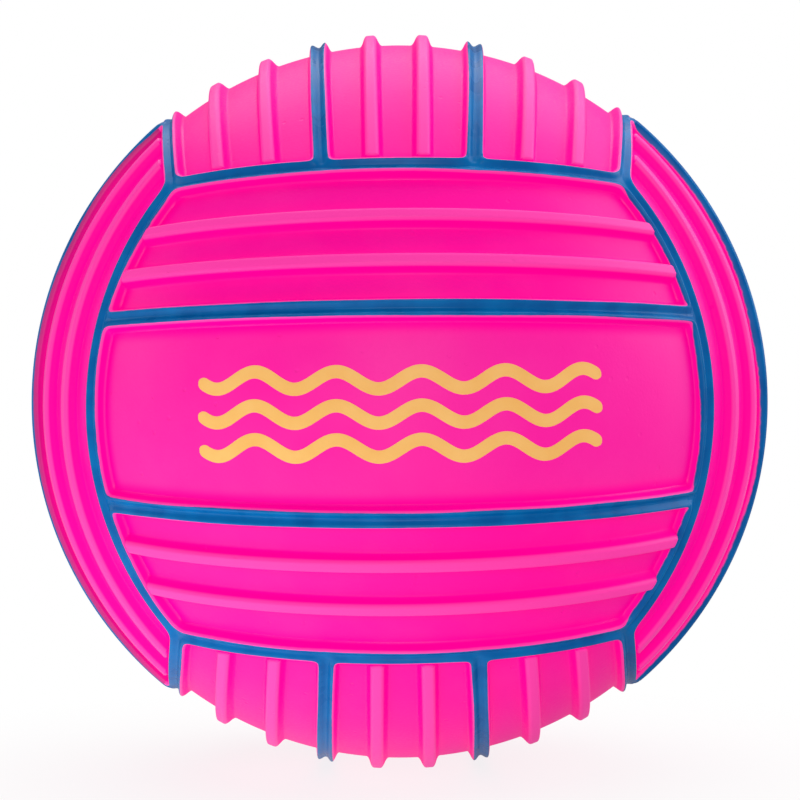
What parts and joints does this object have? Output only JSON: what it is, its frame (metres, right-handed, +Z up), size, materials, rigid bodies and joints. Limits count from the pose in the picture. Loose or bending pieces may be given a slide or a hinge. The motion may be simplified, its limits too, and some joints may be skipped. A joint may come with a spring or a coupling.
{
  "type": "water polo ball",
  "caption": "Small water polo ball with ribbed cover panels, raised grooved seam strips, a wound carcass, an airtight bladder and a needle valve whose core pulls out for service.",
  "frame": {"origin": "centre of the ball", "axes": "-Y out of the front face that carries the print, +Y out of the valve, +Z up as in the picture"},
  "size_m": [0.1498, 0.1455, 0.1498],
  "materials": {
    "cover": "satin, slightly glossy",
    "seam": "painted, slightly glossy",
    "carcass": "wound thread in latex",
    "bladder": "matte",
    "valve_housing": "matte",
    "valve_core": "matte"
  },
  "bodies": {
    "ball": {"back_edge_bottom": "seam", "back_edge_top": "seam", "back_panel_centre": "cover", "back_panel_lower": "cover", "back_panel_upper": "cover", "back_seam_lower": "seam", "back_seam_upper": "seam", "bladder": "bladder", "bottom_edge_left": "seam", "bottom_edge_right": "seam", "bottom_panel_centre": "cover", "bottom_panel_left": "cover", "bottom_panel_right": "cover", "bottom_seam_left": "seam", "bottom_seam_right": "seam", "carcass": "carcass", "front_edge_bottom": "seam", "front_edge_top": "seam", "front_panel_centre": "cover", "front_panel_lower": "cover", "front_panel_upper": "cover", "front_seam_lower": "seam", "front_seam_upper": "seam", "left_edge_back": "seam", "left_edge_front": "seam", "left_panel_back": "cover", "left_panel_centre": "cover", "left_panel_front": "cover", "left_seam_back": "seam", "left_seam_front": "seam", "right_edge_back": "seam", "right_edge_front": "seam", "right_panel_back": "cover", "right_panel_centre": "cover", "right_panel_front": "cover", "right_seam_back": "seam", "right_seam_front": "seam", "top_edge_left": "seam", "top_edge_right": "seam", "top_panel_centre": "cover", "top_panel_left": "cover", "top_panel_right": "cover", "top_seam_left": "seam", "top_seam_right": "seam", "valve_housing": "valve_housing"},
    "valve_core": {"valve_core": "valve_core"}
  },
  "joints": [
    {"name": "core_pull", "type": "slide", "parent": "ball", "child": "valve_core", "axis": [0, 1, 0], "range_m": [0, 0.014]}
  ]
}
